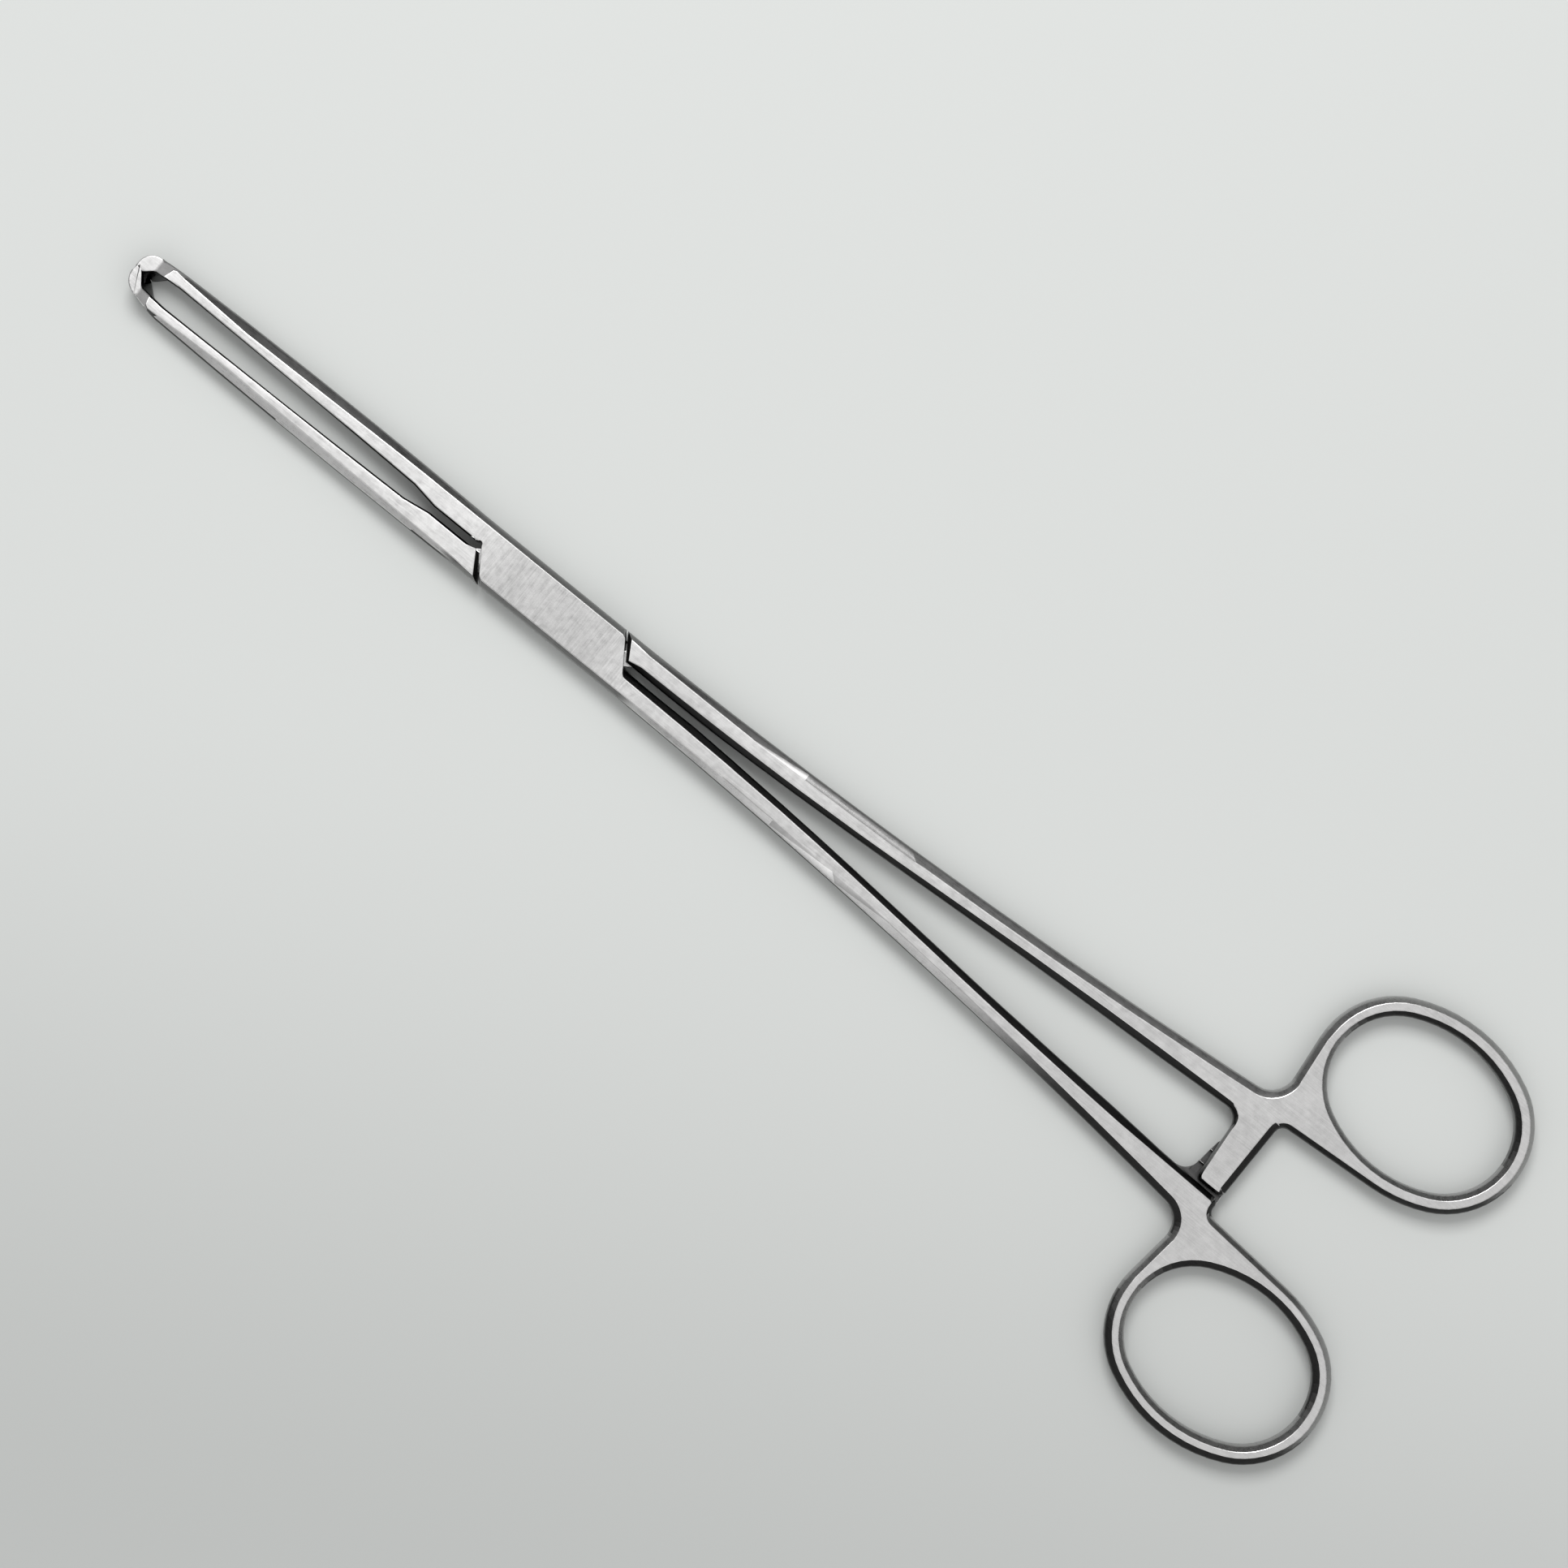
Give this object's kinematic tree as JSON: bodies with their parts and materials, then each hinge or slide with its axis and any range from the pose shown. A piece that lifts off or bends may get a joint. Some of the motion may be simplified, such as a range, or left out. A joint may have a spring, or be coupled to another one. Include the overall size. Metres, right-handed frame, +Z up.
{
  "type": "tissue forceps",
  "caption": "Long locking tissue forceps: slim windowed jaws with toothed tips, a box lock, straight tapering shanks, a ratchet and oval finger rings.",
  "frame": {"origin": "on the pivot axis, on the underside of the box lock", "axes": "+X along the instrument to the tips, +Z up along the pivot axis out of the pictured side, +Y to the ring of the arm that carries the box"},
  "size_m": [0.2, 0.0626, 0.0046],
  "materials": {
    "arm_steel": "satin ground and lightly polished",
    "pin_steel": "ground flush with the box"
  },
  "bodies": {
    "box_half": {"box_arm": "arm_steel", "pivot_pin": "pin_steel"},
    "tongue_half": {"tongue_arm": "arm_steel"}
  },
  "joints": [
    {"name": "box_joint", "type": "hinge", "parent": "box_half", "child": "tongue_half", "pos_m": [0, 0, 0.0023], "axis": [0, 0, 1], "range_deg": [0, 30]}
  ]
}
